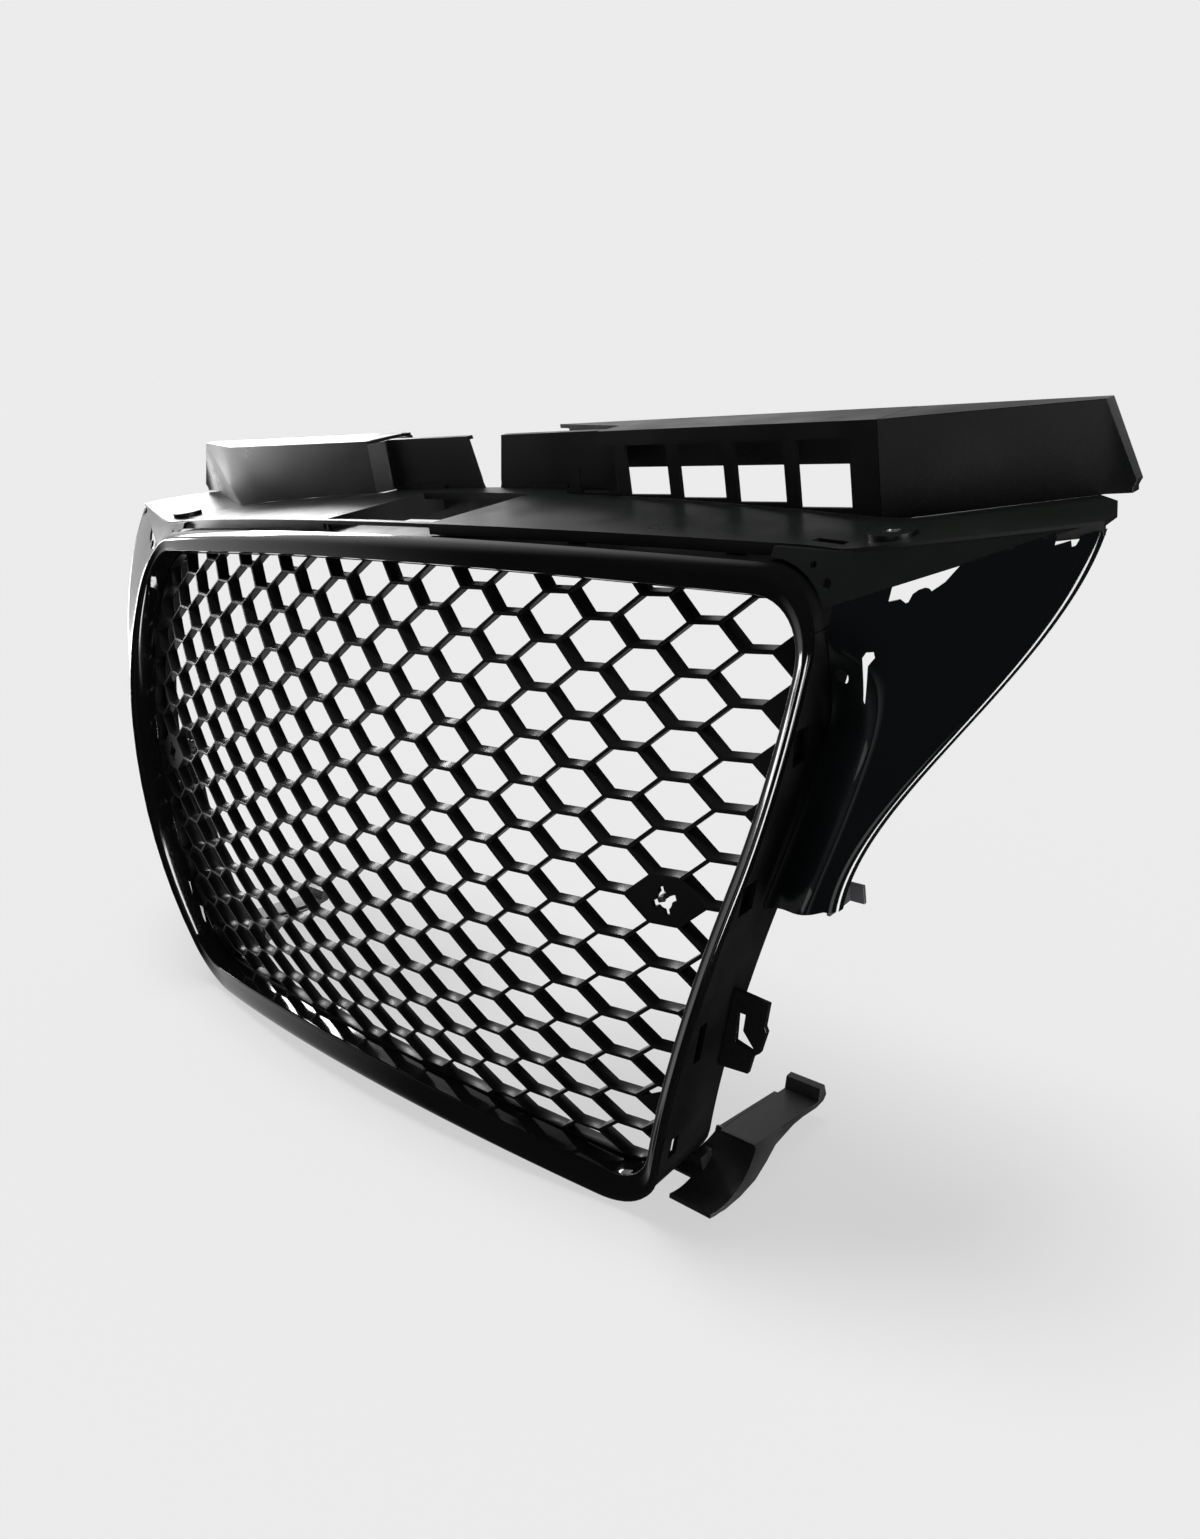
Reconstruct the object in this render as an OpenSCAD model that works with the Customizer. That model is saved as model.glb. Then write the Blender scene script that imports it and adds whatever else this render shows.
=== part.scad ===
// Honeycomb front grille with its carrier for a compact car.
// Frame: +X to the right seen from the front, +Y towards the rear, +Z up.
// Origin: midway between the two upper fixing holes, on top of their pads.
// The face of the grille is a barrel: a profile arc turned about an upright axis behind it.

/* [Honeycomb] */
// Distance between neighbouring cell columns
pitch_x = 33; // [31:0.5:35]
// Distance between cells in one column
pitch_z = 24.4; // [23:0.1:25]
// Half width of a cell between its two side tips, on the wall middle line
cell_tip = 24.3; // [23:0.1:26]
// Thickness of the honeycomb walls
cell_wall = 2.2; // [1.6:0.1:4]
// Depth of the honeycomb walls
cell_depth = 8; // [6:0.5:12]
// Cell columns on each side of the middle one
columns = 9; // [8:1:9]
// Distance between the two plate holder anchors, centre to centre
anchor_span = 528; // [528:66:528]

/* [Face] */
// Radius of the face seen from the side
profile_r = 483; // [450:1:520]
// Height of the profile arc's centre above the face centre
profile_z = -116; // [-130:1:-100]
// Radius of the face seen from above
plan_r = 1576; // [1400:1:1800]

/* [Opening] */
// Height of the opening's top edge above the face centre
open_top = 158; // [152:0.5:160]
// Depth of the opening's bottom edge below the face centre
open_bottom = 162; // [158:0.5:164]
// Radius of the arched top edge
crown_r = 3900; // [3500:50:4500]
// Radius of the arched bottom edge
sill_r = 2150; // [1900:50:2400]
// Radius of the upper part of each side
side_r = 350; // [340:1:360]
// Height of the side arc's centre
side_z = 130; // [126:1:134]
// Widest half width of the opening
half_open = 325; // [323:0.5:327]
// Lean of the straight lower part of each side, in degrees
side_lean = 18.3; // [17:0.1:20]

/* [Bezel] */
// Width of the bezel bar at the sides
bezel_side = 10; // [9:0.5:11]
// Width of the bezel bar at the top
bezel_top = 18; // [17:0.5:19]
// Width of the bezel bar at the bottom
bezel_bottom = 25; // [23:0.5:26]
// Height of the bezel in front of the honeycomb
bezel_proud = 18; // [16:0.5:22]
// Thickness of the moulded skins
skin = 2.6; // [2:0.1:3]

/* [Carrier] */
// Height of the deck at the middle of the car
deck_z = 182; // [180:1:184]
// Drop of the deck from the middle to the bezel's corners
deck_drop = 14; // [12:1:16]
// Half width of the whole carrier
carrier_half = 442; // [430:1:450]
// Distance between the two upper fixing holes
fixing_span = 690; // [680:1:700]
// Diameter of the upper fixing holes, for M6 screws
fixing_d = 6.6; // [6.2:0.1:7]
// Height of the ducts above the deck at the middle
duct_h = 37; // [34:1:38]
// Width of each intake window
window_w = 33; // [30:1:35]
// Distance between the intake windows
window_pitch = 41.5; // [40:0.5:42]

/* [Lower arms] */
// Width of each lower arm
arm_w = 30; // [26:1:34]
// Distance from the middle of the car to each arm's inner edge
arm_x = 252; // [250:1:256]

/* [Hidden] */

gap = 0.2;
fixing_y = 130;
fixing_z = 172;
face_turn = 18;
cell_half = pitch_z / 2;
cell_flat = pitch_x - cell_tip;
side_x = half_open - side_r;
arc_fn = 180;
seam_rise = 0.294;
seam_z = 145;
seam_x = 337;
rail_back = -35;
web = 2.4;
// Offset of the lip's back face, where the screw heads sit
lip_back = -cell_depth - skin - gap;
window_x = 100;
duct_top = deck_z + duct_h;
arm_curl = [21, -152];
arm_curl_r = 38;
arm_screw = [38, -183.5];
wing_dip_max = 24;
wing_low = -5;

// ---- the barrel-shaped face ----

// y of the face at x, z, moved forward by h
function face_y(x, z, h = 0) =
  let (bulge = face_rho(0) + sqrt(pow(profile_r + h, 2) - pow(z - profile_z, 2)))
  plan_r - sqrt(bulge * bulge - x * x);
// Distance from the upright axis to the profile arc's centre
function face_rho(h) = plan_r - sqrt(profile_r * profile_r - profile_z * profile_z);
// x of the opening's side edge at height z, grown outward by g
function edge_x(z, g) =
  let (low = side_z - (side_r + g) * sin(side_lean))
  z < low
    ? side_x + (side_r + g) * cos(side_lean) + (z - low) * tan(side_lean)
    : side_x + sqrt(pow(side_r + g, 2) - pow(z - side_z, 2));
// Height of the deck's top surface at x
function deck_top(x) =
  let (a = abs(x))
  a < 330 ? deck_z - deck_drop * pow(a / 330, 2) : deck_z - deck_drop + 8 * (a - 330) / (carrier_half - 330);
// Height of the seam between carrier and wing at x
function seam(x) = seam_z + seam_rise * (abs(x) - seam_x);
// Smooth step from 0 to 1
function ease(t) = t * t * (3 - 2 * t);
// x of the wing's outer edge at height z
function wing_x(z) = 360 + (carrier_half - 360) * ease(min(1, max(0, (z - 5) / 170)));

// Points on an arc
function arc(c, r, from, to, n) = [for (i = [0:n]) c + r * [cos(from + (to - from) * i / n),
  sin(from + (to - from) * i / n)]];
// Right-hand crossing of two circles
function crossing(a, ra, b, rb) =
  let (d = norm(b - a), k = (d * d + ra * ra - rb * rb) / (2 * d), e = (b - a) / d, h = sqrt(ra * ra - k * k))
  e[1] > 0 ? a + k * e + h * [e[1], -e[0]] : a + k * e - h * [e[1], -e[0]];
// Direction of a vector, in degrees
function heading(v) = atan2(v[1], v[0]);

// Right half of an outline that is the opening grown by s at the sides, t at the top, b at the bottom
function half_outline(s, t, b, corner) =
  let (
    side_c = [side_x, side_z],
    top_c = [0, open_top - crown_r],
    low_c = [0, -open_bottom - b - sill_r],
    top_corner = crossing(top_c, crown_r + t - corner, side_c, side_r + s - corner),
    lean = [cos(side_lean), -sin(side_lean)],
    down = [-sin(side_lean), -cos(side_lean)],
    start = side_c + (side_r + s - corner) * lean,
    q = start - low_c,
    along = -q * down - sqrt(pow(q * down, 2) - q * q + pow(sill_r + corner, 2)),
    low_corner = start + along * down,
    low_turn = heading(low_c - low_corner)
  )
  concat(
    arc(low_c, sill_r, 90, low_turn + 180, 6),
    arc(low_corner, corner, low_turn, -side_lean, 8),
    arc(side_c, side_r + s, -side_lean, heading(top_corner - side_c), 8),
    arc(top_corner, corner, heading(top_corner - side_c), heading(top_corner - top_c), 8),
    arc(top_c, crown_r + t, heading(top_corner - top_c), 90, 6));
function mirror_back(p) = [for (i = [len(p) - 2:-1:1]) [-p[i][0], p[i][1]]];
module outline(s, t, b, corner) {
  right = half_outline(s, t, b, corner);
  polygon(concat(right, mirror_back(right)));
}

// A flat outline drawn in x and z, carried along y
module along_y(y0, y1) {
  translate([0, y1, 0])
    rotate([90, 0, 0])
      linear_extrude(height = y1 - y0)
        children();
}

// The space between two offsets of the face
module face_slab(back, front, z0 = -215, z1 = 215) {
  rho = face_rho(0);
  translate([0, plan_r, 0])
    rotate_extrude(angle = 2 * face_turn, start = 270 - face_turn, $fn = 2 * arc_fn)
      intersection() {
        translate([rho, profile_z])
          difference() {
            circle(r = profile_r + front, $fn = 2 * arc_fn);
            circle(r = profile_r + back, $fn = 2 * arc_fn);
          }
        translate([rho + profile_r - 260, z0])
          square([360, z1 - z0]);
      }
}

// Puts the face's own frame into the part's frame
module at_face() {
  translate([0, -fixing_y, -fixing_z])
    children();
}

module both_sides() {
  children();
  mirror([1, 0, 0])
    children();
}

// ---- bezel and honeycomb ----

module bezel_frame() {
  color("black")
    at_face() {
      intersection() {
        face_slab(bezel_proud - skin, bezel_proud);
        along_y(-60, 160)
          difference() {
            outline(bezel_side, bezel_top, bezel_bottom, 44);
            outline(skin / 2, skin / 2, skin / 2, 31);
          }
      }
      intersection() {
        face_slab(gap, bezel_proud - 0.5);
        along_y(-60, 160)
          difference() {
            outline(skin, skin, skin, 33);
            outline(0, 0, 0, 30);
          }
      }
    }
}

module cell_hole() {
  slope = norm([cell_tip - cell_flat, cell_half]) / cell_half;
  tip = cell_tip - slope * cell_wall / 2;
  top = cell_half - cell_wall / 2;
  flat = tip - top * (cell_tip - cell_flat) / cell_half;
  polygon([[tip, 0], [flat, top], [-flat, top], [-tip, 0], [-flat, -top], [flat, -top]]);
}

// Cell positions: odd columns sit half a pitch higher; the two anchor cells are left out
module cell_pattern() {
  anchor_column = anchor_span / 2 / pitch_x;
  for (u = [-columns:columns], k = [-7:7])
    if (!(abs(u) == anchor_column && k == 0))
      translate([pitch_x * u, pitch_z * (k + (u % 2 == 0 ? 0 : 0.5))])
        cell_hole();
}

module honeycomb_insert() {
  color("dimgray")
    at_face()
      difference() {
        intersection() {
          face_slab(-cell_depth, 0);
          along_y(-30, 150)
            difference() {
              union() {
                outline(2.4, 12, 14, 34);
                for (side = [-1, 1], z = side_screw_zs)
                  translate([side * edge_x(z, 2.2), z])
                    circle(r = 4, $fn = 48);
              }
              intersection() {
                outline(-1, -1, -1, 30);
                cell_pattern();
              }
              for (side = [-1, 1])
                translate([side * anchor_span / 2, 0])
                  anchor_hole();
            }
        }
        // Anchor cells are closed only by a thin web at the front
        intersection() {
          face_slab(-cell_depth - 1, -web);
          along_y(-30, 150)
            for (side = [-1, 1])
              translate([side * anchor_span / 2, 0])
                cell_hole();
        }
        top_pins(4.1, -cell_depth - 1, -4);
        bottom_pins(4.1, -cell_depth - 1, -4);
        side_pins(3.1, -cell_depth - 1, -4);
      }
}

// Round hole with four notches for the anchor's legs
module anchor_hole() {
  circle(d = 10, $fn = 48);
  for (turn = [20, 110])
    rotate(turn)
      square([15, 3.4], center = true);
}

// Expansion nuts that take the plate holder's screws
module plate_anchors() {
  color("gray")
    at_face()
      for (side = [-1, 1])
        translate([side * anchor_span / 2, face_y(anchor_span / 2, 0), 0])
          mirror([side < 0 ? 1 : 0, 0, 0])
            rotate([-90, 0, 0])
              difference() {
                union() {
                  // Threaded barrel behind the cell, with its flange
                  translate([0, 0, 14])
                    cylinder(d = 7, h = 8, $fn = 48);
                  translate([0, 0, 14])
                    cylinder(d = 11, h = 2, $fn = 48);
                  // Leg that reaches forward beside the hole and hooks over the web
                  rotate(-20)
                    translate([-7.4, -1.5, web + 0.3])
                      cube([2.2, 3, 15.8 - web]);
                  rotate(-20)
                    translate([-7.4, -1.5, web + 0.3])
                      cube([4.6, 3, 1.4]);
                }
                translate([0, 0, 10])
                  cylinder(d = 4.2, h = 20, $fn = 48);
              }
}

// ---- rails behind the bezel ----

// Wall that follows the bezel's outer edge, from h = back to h = front
module rail_wall(back, front) {
  intersection() {
    face_slab(back, front);
    along_y(-60, 200)
      difference() {
        outline(bezel_side - 1, bezel_top - 1.5, bezel_bottom - 2, 43);
        outline(bezel_side - 1 - skin, bezel_top - 1.5 - skin, bezel_bottom - 2 - skin, 41);
      }
  }
}

// Flat lip behind the insert, between the rail wall and an inner offset
module rail_lip(inner) {
  intersection() {
    face_slab(-cell_depth - skin - gap, -cell_depth - gap);
    along_y(-60, 200)
      difference() {
        outline(bezel_side - 1.2, bezel_top - 1.7, bezel_bottom - 2.2, 42.8);
        outline(inner, inner, inner, 30);
      }
  }
}

// Moves the origin onto the face at x, z, offset h, with -Y pointing out of the face
module on_face(x, z, h) {
  translate([x, face_y(x, z, h), z])
    rotate([0, 0, asin(x / (plan_r - face_y(0, z, h)))])
      rotate([-asin((z - profile_z) / (profile_r + h)), 0, 0])
        children();
}

top_screw_xs = [-240, -120, 0, 120, 240];
bottom_screw_xs = [-180, -60, 60, 180];
side_screw_zs = [-120, -36, 46];
function top_screw_z(x) = open_top + 6 - x * x / (2 * crown_r);
function bottom_screw_z(x) = -open_bottom - 6 - x * x / (2 * sill_r);

// Straight pins where screws join the rails and the insert, from offset back to front
module top_pins(d, back, front) {
  for (x = top_screw_xs)
    on_face(x, top_screw_z(x), back)
      rotate([90, 0, 0])
        cylinder(d = d, h = front - back, $fn = 48);
}
module bottom_pins(d, back, front) {
  for (x = bottom_screw_xs)
    on_face(x, bottom_screw_z(x), back)
      rotate([90, 0, 0])
        cylinder(d = d, h = front - back, $fn = 48);
}
module side_pins(d, back, front) {
  for (side = [-1, 1], z = side_screw_zs)
    on_face(side * edge_x(z, 2.2), z, back)
      rotate([90, 0, 0])
        cylinder(d = d, h = front - back, $fn = 48);
}

module block(x0, x1, y0, y1, z0, z1) {
  translate([x0, y0, z0])
    cube([x1 - x0, y1 - y0, z1 - z0]);
}

// One slot through a side rail, z0 to z1, from offset h0 to h1
module rail_slot(z0, z1, h0, h1) {
  x = edge_x((z0 + z1) / 2, 9);
  y0 = face_y(x, (z0 + z1) / 2, h1);
  y1 = face_y(x, (z0 + z1) / 2, h0);
  translate([x, (y0 + y1) / 2, (z0 + z1) / 2])
    rotate([0, side_lean, 0])
      cube([24, y1 - y0, z1 - z0], center = true);
}

module right_rail() {
  at_face()
    difference() {
      union() {
        intersection() {
          rail_wall(rail_back, bezel_proud - skin - gap);
          block(236, 360, -60, 200, -215, 0);
        }
        intersection() {
          rail_wall(-21, bezel_proud - skin - gap);
          block(200, 360, -60, 200, -0.1, 134);
        }
        // Lip that carries the screws into the insert
        intersection() {
          rail_lip(-4);
          block(200, 360, -60, 200, -140, 110);
        }
        // Boss for the lower arm's screw
        intersection() {
          block(236.2, 250, arm_screw[0] - 5, arm_screw[0] + 5, arm_screw[1] - 5, arm_screw[1] + 5);
          along_y(0, 80)
            outline(bezel_side - 1.4, 10, bezel_bottom - 2.4, 42.6);
        }
      }
      rail_slot(74, 92, -2, 9);
      rail_slot(1, 20, -2, 9);
      rail_slot(-90, -61, -3, 3);
      rail_slot(-158, -142, -2, 5);
      side_pins(3.4, lip_back - 1, -cell_depth + 1);
      along_x(230, 260)
        translate(arm_screw)
          circle(d = 4.4, $fn = 48);
    }
}

module right_side_rail() {
  color("black")
    right_rail();
}

module left_side_rail() {
  color("black")
    mirror([1, 0, 0])
      right_rail();
}

module top_rail() {
  color("black")
    at_face()
      difference() {
        union() {
          intersection() {
            rail_wall(-15, bezel_proud - skin - gap);
            block(-360, 360, -60, 200, 134.4, 200);
          }
          intersection() {
            rail_lip(1);
            block(-290, 290, -60, 200, 134.4, 200);
          }
          // Snap hooks that stand behind the carrier's front rim
          for (x = [-270, -170, -85, 85, 170, 270])
            block(x - 5, x + 5, rim_y(x) + 3.2, rim_y(x) + 7, open_top + 14 - x * x / (2 * crown_r),
              deck_top(x) - skin - 1);
        }
        top_pins(4.4, lip_back - 1, -cell_depth + 1);
      }
}

module bottom_rail() {
  color("black")
    at_face()
      difference() {
        union() {
          intersection() {
            rail_wall(-22, bezel_proud - skin - gap);
            block(-235.8, 235.8, -60, 200, -215, -165);
          }
          intersection() {
            rail_lip(2);
            block(-232, 232, -60, 200, -215, -162);
          }
        }
        bottom_pins(4.4, lip_back - 1, -cell_depth + 1);
      }
}

// ---- carrier ----

deck_half = [for (x = [0:30:330]) x];
function deck_xs() = concat([for (i = [len(deck_half) - 1:-1:1]) -deck_half[i]], deck_half);

// Sheet that follows the deck, lowered by down and t thick, carried along y
module deck_sheet(down, t) {
  xs = concat([-carrier_half], deck_xs(), [carrier_half]);
  along_y(40, 260)
    polygon(concat(
      [for (x = xs) [x, deck_top(x) - down]],
      [for (i = [len(xs) - 1:-1:0]) [xs[i], deck_top(xs[i]) - down - t]]));
}

// y of the deck's front edge at x
function rim_y(x) = abs(x) < 325
  ? 75 + 29 * pow(x / 300, 2)
  : face_y(x, deck_top(x), 8);

module deck_plan(front) {
  xs = [for (x = [-442:26:442]) x];
  translate([0, 0, 60])
    linear_extrude(height = 180)
      polygon(concat(
        [for (x = xs) [x, rim_y(x) + front]],
        [[440, 160], [430, 186], [415, 204], [320, 170.8], [111, 170.8], [111, 183],
         [-111, 183], [-111, 170.8], [-320, 170.8], [-415, 204], [-430, 186], [-440, 160]]));
}

// Panel between the deck's outer front edge, the bezel's corner and the seam with the wing
module right_skirt() {
  intersection() {
    face_slab(4.4, 7);
    along_y(40, 220)
      difference() {
        polygon([[296, 200], [296, 150], [328, 142], [331.6, seam(331.6) + 0.4],
          [carrier_half, seam(carrier_half) + 0.4], [carrier_half, 200]]);
        outline(bezel_side + 0.6, bezel_top + 0.6, bezel_bottom, 44);
        polygon(concat([for (x = [290:19:442]) [x, deck_top(x) - 1]], [[442, 210], [290, 210]]));
        for (hole = [[319, 161.5, 3.6], [328, 153.5, 5]])
          translate([hole[0], hole[1]])
            circle(d = hole[2], $fn = 32);
      }
  }
}

// Pad with a screw hole at each upper fixing
module fixing_pad() {
  translate([fixing_span / 2, fixing_y, fixing_z - 8])
    cylinder(d = 24, h = 8, $fn = 64);
}

module upper_carrier() {
  color([0.16, 0.17, 0.16])
    at_face()
      difference() {
        union() {
          difference() {
            intersection() {
              deck_sheet(0, skin);
              deck_plan(0);
            }
            // Cut-out in the middle of the deck, behind a thin front strip
            block(-57, 57, 80, 165, 150, 200);
          }
          // Front rim of the deck
          difference() {
            intersection() {
              deck_sheet(skin - 0.1, 4.2);
              deck_plan(0);
            }
            deck_plan(2.5);
            block(-57, 57, 60, 165, 150, 200);
          }
          both_sides()
            right_skirt();
          both_sides()
            fixing_pad();
          // Centre wall with its rolled top edge
          difference() {
            union() {
              block(-111, 119, 182, 182 + skin, 158, 217.5);
              block(-111, 119, 182, 188, 215, 217.5);
              block(-86, -51, 180, 182.1, 181, 184);
              block(43, 76, 180, 182.1, 181, 184);
            }
            along_y(170, 200)
              polygon(concat([[-20, 220], [-12, 188]], arc([-1, 188], 11, 180, 360, 12), [[18, 220]]));
          }
          block(-60, -57, 82, 182, 166, 179.5);
          block(57, 60, 82, 182, 166, 179.5);
          block(-60, 60, 165, 182, 177, 179.5);
        }
        for (side = [-1, 1])
          translate([side * fixing_span / 2, fixing_y, fixing_z - 9])
            cylinder(d = 10, h = 20, $fn = 64);
        for (side = [-1, 1])
          block(side * 318 - 9, side * 318 + 9, 114, 120, 150, 180);
      }
}

// Steel sleeves that keep the upper screws from crushing the plastic
module fixing_sleeves() {
  color("silver")
    at_face()
      for (side = [-1, 1])
        translate([side * fixing_span / 2, fixing_y, fixing_z - 8])
          difference() {
            cylinder(d = 9.98, h = 8, $fn = 64);
            translate([0, 0, -1])
              cylinder(d = fixing_d, h = 10, $fn = 64);
          }
}

// Everything above the deck
module above_deck() {
  xs = concat([-carrier_half], deck_xs(), [carrier_half]);
  along_y(100, 260)
    polygon(concat([for (x = xs) [x, deck_top(x) + gap]], [[carrier_half, 240], [-carrier_half, 240]]));
}

module upright(points, z0, z1) {
  translate([0, 0, z0])
    linear_extrude(height = z1 - z0)
      polygon(points);
}

module intake_box() {
  color([0.16, 0.17, 0.16])
    at_face()
      intersection() {
        above_deck();
        union() {
          difference() {
            // Front wall and its left return
            upright([[84.5, 168], [315.8, 168], [315.8, 168 + skin], [84.5 + skin, 168 + skin],
              [84.5 + skin, 181.7], [84.5, 181.7]], 150, duct_top);
            for (i = [0:4])
              block(window_x + i * window_pitch, window_x + i * window_pitch + window_w, 150, 180,
                deck_top(window_x + i * window_pitch) + 1, 210);
            // Slanted edge of the left end
            along_y(150, 181.8)
              polygon([[60, 180], [85, 180], [122, 220], [60, 220]]);
          }
          // Roof
          upright([[121.5, 168], [315.8, 168], [315.8, 210], [47, 210], [121.5, 189]], duct_top - skin, duct_top);
          // Wall that hangs from the back of the roof
          upright([[60, 210 - skin], [315.8, 210 - skin], [315.8, 210], [60, 210]], 190, duct_top);
          // Left end behind the centre wall
          upright([[121.5, 188.8], [121.5, 191.6], [66, 209], [56, 209]], 186, duct_top);
        }
      }
}

// Space inside the slanted end of a duct, cut back by inset
module duct_limit(inset) {
  along_y(100, 260)
    polygon([[90, 150], [431 - inset, 150], [431 - inset, 178], [433 - inset, 181.5], [417 - inset, duct_top],
      [417 - inset, 240], [90, 240]]);
}

// Outer duct from x0 to the slanted end: front wall, roof and end wall
module duct(x0) {
  intersection() {
    duct_limit(0);
    difference() {
      upright([[x0, 168], [316, 168], [417, 203], [442, 200], [442, 206], [417, 213], [316, 210], [x0, 210]],
        150, duct_top);
      intersection() {
        upright([[x0 - 1, 168 + skin], [315.5, 168 + skin], [417, 203 + skin], [442, 202], [442, 203], [417, 214],
          [316, 211], [x0 - 1, 211]], 149, duct_top - skin);
        duct_limit(skin);
      }
    }
  }
}

module right_horn() {
  color([0.14, 0.15, 0.14])
    at_face()
      intersection() {
        above_deck();
        union() {
          duct(316);
          block(316, 316 + skin, 169, 209, 150, duct_top - 1);
        }
      }
}

module left_pod() {
  color([0.2, 0.21, 0.2])
    at_face()
      mirror([1, 0, 0])
        intersection() {
          above_deck();
          union() {
            duct(121);
            block(118.4, 121.5, 168, 207, 150, duct_top);
            upright([[111.4, 180], [118, 168], [119, 168], [119, 171], [114, 180], [114, 207], [111.4, 207]],
              150, duct_top - 2);
            block(113, 121.2, 204.4, 207, 150, duct_top);
          }
        }
}

// ---- wings ----

// How far the wing dips behind the face beside the rail, at height z
function wing_dip(z) = wing_dip_max * ease(min(1, max(0, (142 - z) / 60)));
// Front surface point of the wing: u from the rail to the outer edge, v from bottom to top
function wing_point(u, v, back) =
  let (
    z_in = wing_low + v * (seam(335) - wing_low),
    z_out = 11 + v * (seam(carrier_half) - 11),
    z = z_in + u * (z_out - z_in),
    x_in = edge_x(z_in, 9.4),
    x = x_in + u * (wing_x(z_out) - x_in),
    rise = ease(min(1, (x - x_in) / 42))
  )
  [x, face_y(x, z, 7 - wing_dip(z) * (1 - rise)) + back, z];

module wing_sheet() {
  nu = 14;
  nv = 18;
  row = nu + 1;
  sheet = row * (nv + 1);
  function at(i, j, k) = k * sheet + j * row + i;
  points = [for (back = [0, skin], j = [0:nv], i = [0:nu]) wing_point(i / nu, j / nv, back)];
  front = [for (j = [0:nv - 1], i = [0:nu - 1], t = [0, 1])
    t == 0 ? [at(i, j, 0), at(i, j + 1, 0), at(i + 1, j, 0)] : [at(i + 1, j, 0), at(i, j + 1, 0), at(i + 1, j + 1, 0)]];
  rear = [for (j = [0:nv - 1], i = [0:nu - 1], t = [0, 1])
    t == 0 ? [at(i, j, 1), at(i + 1, j, 1), at(i, j + 1, 1)] : [at(i + 1, j, 1), at(i + 1, j + 1, 1), at(i, j + 1, 1)]];
  low_high = [for (i = [0:nu - 1], t = [0, 1], j = [0, nv])
    let (a = at(i, j, 0), b = at(i + 1, j, 0), c = at(i, j, 1), d = at(i + 1, j, 1))
    j == 0 ? (t == 0 ? [a, b, c] : [b, d, c]) : (t == 0 ? [a, c, b] : [b, c, d])];
  sides = [for (j = [0:nv - 1], t = [0, 1], i = [0, nu])
    let (a = at(i, j, 0), b = at(i, j + 1, 0), c = at(i, j, 1), d = at(i, j + 1, 1))
    i == 0 ? (t == 0 ? [a, c, b] : [b, c, d]) : (t == 0 ? [a, b, c] : [b, d, c])];
  polyhedron(points, concat(front, rear, low_high, sides));
}

module wing_panel() {
  zs = [for (z = [15:10:165]) z];
  difference() {
    union() {
      wing_sheet();
      // Rolled outer edge
      intersection() {
        face_slab(-1, 5);
        along_y(-20, 220)
          polygon(concat([for (z = zs) [wing_x(z) - 0.3, z]],
            [for (i = [len(zs) - 1:-1:0]) [wing_x(zs[i]) - 3, zs[i]]]));
      }
    }
    // Gaps around the two seam tabs
    along_y(-20, 220)
      difference() {
        polygon([[359, seam(359) + 1], [388, seam(388) + 1], [383, seam(383) - 4.5], [378, seam(378) - 7],
          [360, seam(360) - 6]]);
        translate([373, seam(373) - 9])
          circle(r = 4.6, $fn = 32);
      }
    along_y(-20, 220)
      polygon([[424, seam(424) + 1], [445, seam(445) + 1], [445, seam(445) - 4], [424, seam(424) - 4]]);
    // Upright slit and round hole near the rail
    along_y(20, 200)
      polygon([[352.5, 101], [357, 101], [355.5, 124], [350.5, 121]]);
    along_y(20, 200)
      translate([339.5, 111])
        circle(d = 6, $fn = 48);
  }
}

module right_wing() {
  color("black")
    at_face()
      wing_panel();
}

module left_wing() {
  color("black")
    at_face()
      mirror([1, 0, 0])
        wing_panel();
}

// ---- clips, arms and fasteners ----

module side_clip() {
  along_y(36, 39)
    difference() {
      polygon([[edge_x(-52, 9.4), -52], [315.5, -54], [311, -70], [312, -73], [306, -88], [301, -92], [296, -105],
        [edge_x(-107, 9.4), -107]]);
      polygon([[294, -66], [299, -66], [296, -77], [304, -90], [290, -86]]);
    }
}

module right_side_clip() {
  color("black")
    at_face()
      side_clip();
}

module left_side_clip() {
  color("black")
    at_face()
      mirror([1, 0, 0])
        side_clip();
}

// Extrudes a y and z profile along x
module along_x(x0, x1) {
  translate([x0, 0, 0])
    rotate([90, 0, 90])
      linear_extrude(height = x1 - x0)
        children();
}

// Curved tongue sheet between two angles
module tongue(from, to) {
  polygon(concat(arc(arm_curl, arm_curl_r, from, to, 12), arc(arm_curl, arm_curl_r + skin, to, from, 12)));
}

// Side wall that stiffens the tongue and the root of the arm
module arm_web() {
  polygon(concat(arc(arm_curl, arm_curl_r + 1, 329, 252, 12),
    [[9, -190.4], [20, -193.5], [34, -194.7], [49, -193.4], [61, -188.4], [71, -183], [90, -181], [112, -183]]));
}

module lower_arm() {
  along_x(arm_x, arm_x + arm_w)
    tongue(249, 331);
  along_x(arm_x, arm_x + skin)
    arm_web();
  along_x(arm_x + arm_w - skin, arm_x + arm_w)
    arm_web();
  // Arm with its upturned end
  along_x(arm_x + 5, arm_x + arm_w)
    polygon([[52, -172.5], [114, -184.6], [122, -184.2], [125.5, -181.5], [124.5, -174], [119.5, -174],
      [116.5, -181.4], [54.5, -170.3], [52, -170.3]]);
  // Inner part that closes against the corner of the rail and takes the screw
  difference() {
    union() {
      along_x(arm_x - 20, arm_x + 0.1)
        tongue(280, 331);
      block(236, arm_x + 4, arm_screw[0] - 5, arm_screw[0] + 5, arm_screw[1] - 5, arm_screw[1] + 5);
    }
    along_y(0, 80)
      outline(bezel_side - 0.8, 10, bezel_bottom - 1.8, 43);
    along_x(230, arm_x + 3)
      translate(arm_screw)
        circle(d = 4.1, $fn = 48);
  }
}

module right_lower_arm() {
  color("black")
    at_face()
      lower_arm();
}

module left_lower_arm() {
  color("black")
    at_face()
      mirror([1, 0, 0])
        lower_arm();
}

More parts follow.
